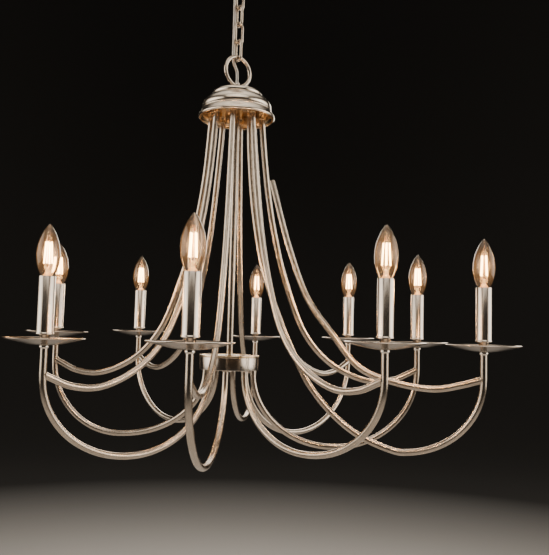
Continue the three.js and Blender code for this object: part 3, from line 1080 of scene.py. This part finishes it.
def neck_mesh():
    """The metal skirt between the cap and the glass."""
    outline = in_mm([(5.9, -2.6), (6.9, -2.6), (9, -1.6), (9.1, -1.2), (8.8, -1), (5.9, -1)])
    return turned("bulb_neck_1", ring_shape(outline))


def stem_mesh():
    """The flared glass stem that holds the filaments up."""
    flare = curved([(7.6, -0.8), (6.6, 1.5), (4.2, 5), (2.6, 9), (2.1, 13)], 1)
    outline = [*in_mm([(0, -0.8)]), *flare, *in_mm([(0, 14.2)])]
    return turned("bulb_stem_1", outline, 32)


def filament_ends(side):
    """The lower and upper end of one of the four upright filament sticks."""
    turn = radians(45 + 90 * side)
    ends = in_mm([(6.2, 19), (4.4, 52)])  # how far out, and how high above the sleeve
    return [Vector((out * cos(turn), out * sin(turn), height)) for out, height in ends]


def filament_mesh():
    """Four sticks of coated chips."""
    steps = 12
    sticks = []
    for side in range(4):
        low, high = filament_ends(side)
        path = [low.lerp(high, i / steps) for i in range(steps + 1)]
        sticks.append(bar(f"stick_{side}", path, 1.2 * MM, 12, lip=0.4 * MM))
    return joined("bulb_filaments_1", sticks)


def wires_mesh():
    """The wires that carry the sticks: one to each foot, and a cross with a post at the top."""
    spacing = 0.7 * MM
    top = Vector((0, 0, 66 * MM))
    wires = []
    for side in range(4):
        low, high = filament_ends(side)
        foot = Vector((low.x * 0.35, low.y * 0.35, 12.4 * MM))
        elbow = Vector((low.x * 0.9, low.y * 0.9, 15.6 * MM))
        lower = smooth([foot, elbow, low], spacing)
        upper = smooth([high, high.lerp(top, 0.3), top], spacing)
        wires.append(bar("foot_wire", lower, 0.28 * MM, 8, lip=0))
        wires.append(bar("top_wire", upper, 0.36 * MM, 8, lip=0))
    post = [Vector((0, 0, (13.6 + 6 * i) * MM)) for i in range(10)]
    wires.append(bar("post", post, 0.45 * MM, 10, lip=0.1 * MM))
    return joined("bulb_wires_1", wires)


def joined(name, pieces):
    """One piece from several."""
    with bpy.context.temp_override(active_object=pieces[0], selected_editable_objects=pieces):
        bpy.ops.object.join()
    pieces[0].name = name
    return pieces[0]


def make_candles():
    """At the end of every arm: a dish, a sleeve with its lamp holder, and a candle bulb.

    Each row is a piece's name, mesh, material and slot, the CAD node that it stands for, and
    whether it is part of the bulb, which stands on the sleeve's top.
    """
    lift = at((0, 0, SLEEVE_HEIGHT))
    rows = [
        ("drip_dish_{}_bowl", dish_mesh(), SPUN_PAINTED_SHADE, "satin_nickel", "drip_dish_{}", False),
        ("candle_tube_{}", sleeve_mesh(), CANDLE, "bright_nickel", "candle_sleeve_{}", False),
        ("lamp_holder_{}", holder_mesh(), CREAM, None, None, False),
        ("bulb_glass_{}", glass_mesh(), GLASS, "bulb_glass", "bulb_{}", True),
        ("bulb_cap_{}", cap_mesh(), BRIGHT, "bright_nickel", None, True),
        ("bulb_contact_{}", contact_mesh(), SCREW_BRASS, None, None, True),
        ("bulb_neck_{}", neck_mesh(), BRIGHT, "bright_nickel", None, True),
        ("bulb_stem_{}", stem_mesh(), STEM_GLASS, "bulb_glass", None, True),
        ("bulb_filaments_{}", filament_mesh(), FILAMENT, None, None, True),
        ("bulb_wires_{}", wires_mesh(), BRASS_AND_PAINTED_REFLECTION, "bright_nickel", None, True),
    ]
    for n in LAMPS:
        for name, first, material, slot, node, of_bulb in rows:
            piece = numbered(first, name, n)
            body = f"bulb_{n}" if of_bulb else "lamp"
            place = candle_place(n) @ lift if of_bulb else candle_place(n)
            nodes = [node.format(n)] if node else []
            attach(piece, body, material, nodes, place)
            if material in (GLASS, STEM_GLASS):
                piece.visible_shadow = False


# ---- supply cord
def make_cord():
    """The flex beside the chain, cut at each link's middle so that each part spans one joint."""
    path = smooth(CORD_ROUTE, 1.5 * MM)
    cut_nodes = [*[f"chain_link_{n}" for n in LINKS], "hanging_ring"]
    cuts = [path[0].z, *[middle(node).z for node in cut_nodes], path[-1].z]
    marks = [min(range(len(path)), key=lambda i: abs(path[i].z - cut)) for cut in cuts]
    for i, (first, last) in enumerate(zip(marks, marks[1:])):
        part = bar(f"cord_{i + 1}", path[first : last + 1], CORD_RADIUS, 20, lip=0)
        part.data.materials.append(CORD)
        if i == 0:
            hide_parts("power_cord")
        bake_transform(part)


# ---- studio
def floor_with_painted_falloff():
    """Pale round the lamp, and darker towards the wall and up it: a painted pool of light that fades into
    painted darkness.
    """
    pale_to, dark_from = 1.6, 3.6  # metres from the centre line
    material, tree, shader = new_material("studio_painted_pool", Roughness=0.8)
    place = add_node(tree, "TexCoord").outputs["Object"]
    inputs = {0: place, 1: (1, 1, 0)}
    flat = add_node(tree, "VectorMath", inputs, operation="MULTIPLY").outputs["Vector"]
    away = add_node(tree, "VectorMath", {0: flat}, operation="LENGTH").outputs["Value"]
    # Painted falloff of light: the colour goes from pale to nearly black between these two distances.
    painted_darkening = spread(tree, away, 0.3, 0.7, pale_to, dark_from)
    drive(shader, Base_Color=tint(tree, painted_darkening, (0.56, 0.55, 0.54), (0.022, 0.021, 0.02)))
    return material


def make_studio():
    """A pale floor that rises into a darker wall all round, far from the lamp; the darkening is painted
    into its colour, as falloff of light.
    """
    floor, wall_top = -1.75, 6.5
    flat, bend = 4.5, 3.0
    outline = [(flat * i / 3, floor) for i in range(4)]
    for degrees in range(10, 91, 10):
        turn = radians(degrees)
        outline.append((flat + bend * sin(turn), floor + bend - bend * cos(turn)))
    surface = turned("studio_floor", [*outline, (flat + bend, wall_top)], 96)
    surface.data.materials.append(floor_with_painted_falloff())


def add_light(name, kind, energy, colour):
    """A light that isn't itself seen, directly or through glass."""
    data = bpy.data.lights.new(name, kind)
    data.energy = energy
    data.color = colour
    light = add_object(name, data)
    light.visible_camera = False
    light.visible_transmission = False
    return light


def add_softbox(name, place, size, power):
    """A soft, slightly warm panel of light, turned to the lamp's middle."""
    lamp_middle = Vector((0, 0, -0.6))
    light = add_light(name, "AREA", power, (1.0, 0.91, 0.79))
    light.data.shape = "RECTANGLE"
    light.data.size, light.data.size_y = size
    light.data.spread = radians(95)
    light.location = place
    towards = lamp_middle - Vector(place)
    light.rotation_euler = towards.to_track_quat("-Z", "Y").to_euler()


def add_bulb_light(n):
    """The warm light of one bulb. It has no shape of its own, because the filaments show."""
    light = add_light(f"bulb_light_{n}", "POINT", 2.6, (1.0, 0.55, 0.24))
    light.data.shadow_soft_size = 12 * MM
    lift = at((0, 0, SLEEVE_HEIGHT + FILAMENT_MIDDLE))
    light.matrix_world = candle_place(n) @ lift
    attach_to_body(light, f"bulb_{n}")


def add_lights():
    """A faint even glow, five soft panels round the lamp, and the bulbs."""
    world = bpy.data.worlds.new("studio_world")
    bpy.context.scene.world = world
    world.use_nodes = True
    background = world.node_tree.nodes["Background"]
    background.inputs["Color"].default_value = (1, 0.94, 0.86, 1)
    background.inputs["Strength"].default_value = 0.2
    add_softbox("left_box", (-4.8, -0.7, 0.5), (7.6, 4.0), 90)
    add_softbox("right_box", (4.8, -0.5, 0.5), (7.6, 4.0), 101)
    add_softbox("front_box", (0.0, -3.0, 2.7), (5.0, 2.6), 24)
    add_softbox("top_box", (0.0, 0.2, 2.5), (4.4, 3.0), 18)
    add_softbox("back_box", (0.6, 3.2, 0.3), (2.4, 1.4), 13)
    for n in LAMPS:
        add_bulb_light(n)


# ---- the whole object
make_cord()
make_bracket()
make_terminal_block()
make_rose()
make_chain()
make_ring()
make_eye()
make_dome()
make_tube_plate()
make_stem()
make_hub()
for arm_number in LAMPS:
    make_arm(arm_number)
make_arm_fittings()
make_candles()
make_studio()
add_lights()
